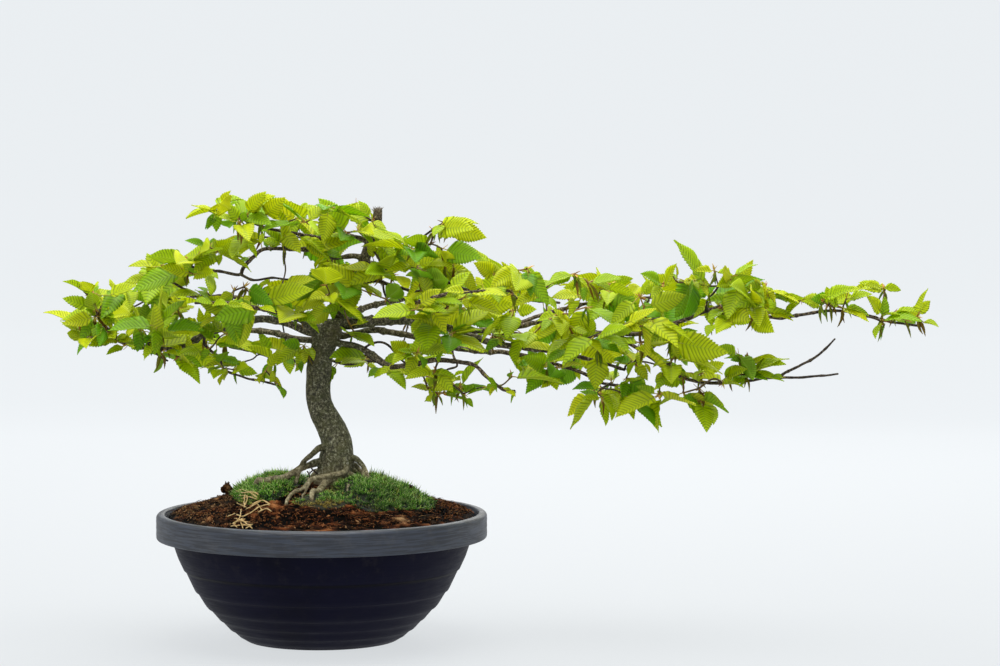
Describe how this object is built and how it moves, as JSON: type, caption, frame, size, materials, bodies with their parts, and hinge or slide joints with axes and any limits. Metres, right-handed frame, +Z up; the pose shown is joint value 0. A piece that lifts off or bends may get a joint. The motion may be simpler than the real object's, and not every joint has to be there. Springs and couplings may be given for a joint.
{
  "type": "beech bonsai",
  "caption": "Bonsai tree with a slender S-curved trunk and a wide, flat, toothed-leaf crown, standing in moss and soil in a round dark bowl with a thick rim.",
  "frame": {"origin": "centre of the pot's flat base", "axes": "+Z up; +X towards the crown's long side; the pictured side faces -Y"},
  "size_m": [0.896, 0.331, 0.4497],
  "materials": {
    "pot_plastic": "satin",
    "soil": "matte",
    "moss": "matte",
    "moss_dry": "matte",
    "bark": "matte",
    "leaf": "satin",
    "straw": "matte",
    "clod": "matte",
    "bark_chip": "matte"
  },
  "bodies": {
    "root": {"bark_chip": "bark_chip", "clod": "clod", "moss_back": "moss", "moss_front": "moss_dry", "moss_left": "moss", "moss_right": "moss", "pot": "pot_plastic", "rootlet_1": "straw", "rootlet_2": "straw", "soil": "soil", "spray_01": "leaf", "spray_02": "leaf", "spray_03": "leaf", "spray_04": "leaf", "spray_05": "leaf", "spray_06": "leaf", "spray_07": "leaf", "spray_08": "leaf", "spray_09": "leaf", "spray_10": "leaf", "spray_11": "leaf", "spray_12": "leaf", "spray_13": "leaf", "spray_14": "leaf", "spray_15": "leaf", "spray_16": "leaf", "spray_17": "leaf", "spray_18": "leaf", "spray_19": "leaf", "spray_20": "leaf", "spray_21": "leaf", "spray_22": "leaf", "spray_23": "leaf", "spray_24": "leaf", "spray_25": "leaf", "spray_26": "leaf", "spray_27": "leaf", "spray_28": "leaf", "spray_29": "leaf", "spray_30": "leaf", "spray_31": "leaf", "spray_32": "leaf", "spray_33": "leaf", "spray_34": "leaf", "spray_35": "leaf", "spray_36": "leaf", "spray_37": "leaf", "spray_38": "leaf", "spray_39": "leaf", "spray_40": "leaf", "spray_41": "leaf", "spray_42": "leaf", "spray_43": "leaf", "straw_1": "straw", "straw_2": "straw", "straw_3": "straw", "straw_4": "straw", "trunk_and_branches": "bark"}
  },
  "joints": []
}
